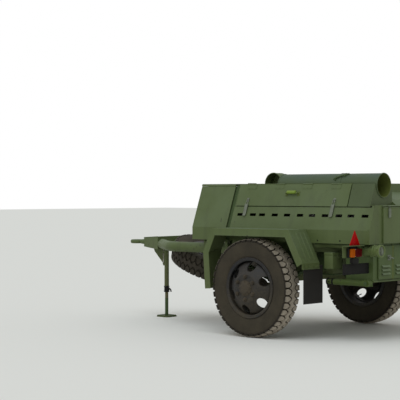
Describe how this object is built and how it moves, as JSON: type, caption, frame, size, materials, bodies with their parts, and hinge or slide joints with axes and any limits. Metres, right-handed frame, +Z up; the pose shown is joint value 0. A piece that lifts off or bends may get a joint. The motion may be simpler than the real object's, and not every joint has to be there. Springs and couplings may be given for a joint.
{
  "type": "military field kitchen trailer",
  "caption": "Single-axle field kitchen trailer with a drawbar, lidded cooking body, folding chimney, louvred rear cabinet and slung spare wheel.",
  "frame": {"origin": "on the floor, half way along and across the trailer", "axes": "+X forward to the towing eye, +Y to the left, +Z up"},
  "size_m": [3.89, 2.114, 1.555],
  "materials": {
    "paint_green": "worn matt olive green paint",
    "paint_wheel": "dark dusty blue-black paint",
    "tyre": "dusty worn rubber",
    "rubber": "black flat rubber",
    "steel": "worn bare steel",
    "fittings": "bright green and grey fittings",
    "cauldron_steel": "plain steel",
    "red_lens": "red and amber lenses",
    "black_plate": "black blank plate"
  },
  "bodies": {
    "trailer": {"axle_beam": "paint_green", "blank_plate": "black_plate", "cauldrons": "cauldron_steel", "chassis_frame": "paint_green", "chimney_bed": "paint_green", "drawbar_head": "paint_green", "drawbar_legs": "paint_green", "firebox": "paint_green", "floor_pan": "paint_green", "flue_elbow": "paint_green", "front_shell": "paint_green", "jack_tube": "paint_green", "lamp_brackets": "paint_green", "leaf_springs": "paint_green", "lower_cabinet": "paint_green", "mudflaps": "rubber", "mudguard_left": "paint_green", "mudguard_right": "paint_green", "partition": "paint_green", "rail_box": "paint_green", "rear_lights": "red_lens", "rear_pipe": "paint_green", "rear_roof": "paint_green", "rear_wall": "paint_green", "roof": "paint_green", "side_panels": "paint_green", "spare_carrier": "paint_green", "tow_eye": "steel", "tyre_spare": "tyre", "wheel_spare": "paint_wheel"},
    "wheel_left": {"wheel_left": "paint_wheel", "tyre_left": "tyre", "hub_left": "paint_wheel"},
    "wheel_right": {"wheel_right": "paint_wheel", "tyre_right": "tyre", "hub_right": "paint_wheel"},
    "jack_leg": {"jack_leg": "steel"},
    "lid_left": {"lid_left": "paint_green", "lid_fittings_left": "fittings"},
    "lid_right": {"lid_right": "paint_green", "lid_fittings_right": "fittings"},
    "front_lid": {"front_lid": "paint_green"},
    "rear_door": {"rear_door": "paint_green"},
    "louvre_door_left": {"louvre_door_left": "paint_green"},
    "louvre_door_middle": {"louvre_door_middle": "paint_green"},
    "louvre_door_right": {"louvre_door_right": "paint_green"},
    "chimney": {"chimney": "paint_green"},
    "prop_left": {"prop_left": "paint_green"},
    "prop_right": {"prop_right": "paint_green"}
  },
  "joints": [
    {"name": "wheel_left_spin", "type": "hinge", "parent": "trailer", "child": "wheel_left", "pos_m": [-0.645, 0.895, 0.4675], "axis": [0, 1, 0], "continuous": true},
    {"name": "wheel_right_spin", "type": "hinge", "parent": "trailer", "child": "wheel_right", "pos_m": [-0.645, -0.895, 0.4675], "axis": [0, 1, 0], "continuous": true},
    {"name": "jack_slide", "type": "slide", "parent": "trailer", "child": "jack_leg", "axis": [0, 0, 1], "range_m": [0, 0.25]},
    {"name": "lid_left_hinge", "type": "hinge", "parent": "trailer", "child": "lid_left", "pos_m": [-0.885, 0.611, 1.444], "axis": [1, 0, 0], "range_deg": [0, 100]},
    {"name": "lid_right_hinge", "type": "hinge", "parent": "trailer", "child": "lid_right", "pos_m": [-0.885, -0.611, 1.444], "axis": [-1, 0, 0], "range_deg": [0, 100]},
    {"name": "front_lid_hinge", "type": "hinge", "parent": "trailer", "child": "front_lid", "pos_m": [-0.148, 0, 1.453], "axis": [0, -1, 0], "range_deg": [0, 95]},
    {"name": "rear_door_hinge", "type": "hinge", "parent": "trailer", "child": "rear_door", "pos_m": [-1.8724, 0, 0.9], "axis": [0, -1, 0], "range_deg": [0, 90]},
    {"name": "louvre_left_hinge", "type": "hinge", "parent": "trailer", "child": "louvre_door_left", "pos_m": [-1.8174, 0.558, 0.73], "axis": [0, 0, -1], "range_deg": [0, 100]},
    {"name": "louvre_middle_hinge", "type": "hinge", "parent": "trailer", "child": "louvre_door_middle", "pos_m": [-1.8174, 0.32, 0.73], "axis": [0, 0, -1], "range_deg": [0, 100]},
    {"name": "louvre_right_hinge", "type": "hinge", "parent": "trailer", "child": "louvre_door_right", "pos_m": [-1.8174, -0.558, 0.73], "axis": [0, 0, 1], "range_deg": [0, 100]},
    {"name": "chimney_raise", "type": "hinge", "parent": "trailer", "child": "chimney", "pos_m": [-0.545, 0.3695, 1.45], "axis": [0, 1, 0], "range_deg": [0, 90]},
    {"name": "prop_left_hinge", "type": "hinge", "parent": "trailer", "child": "prop_left", "pos_m": [-1.78, 0.67, 0.547], "axis": [0, 1, 0], "range_deg": [0, 90]},
    {"name": "prop_right_hinge", "type": "hinge", "parent": "trailer", "child": "prop_right", "pos_m": [-1.78, -0.67, 0.547], "axis": [0, 1, 0], "range_deg": [0, 90]}
  ]
}
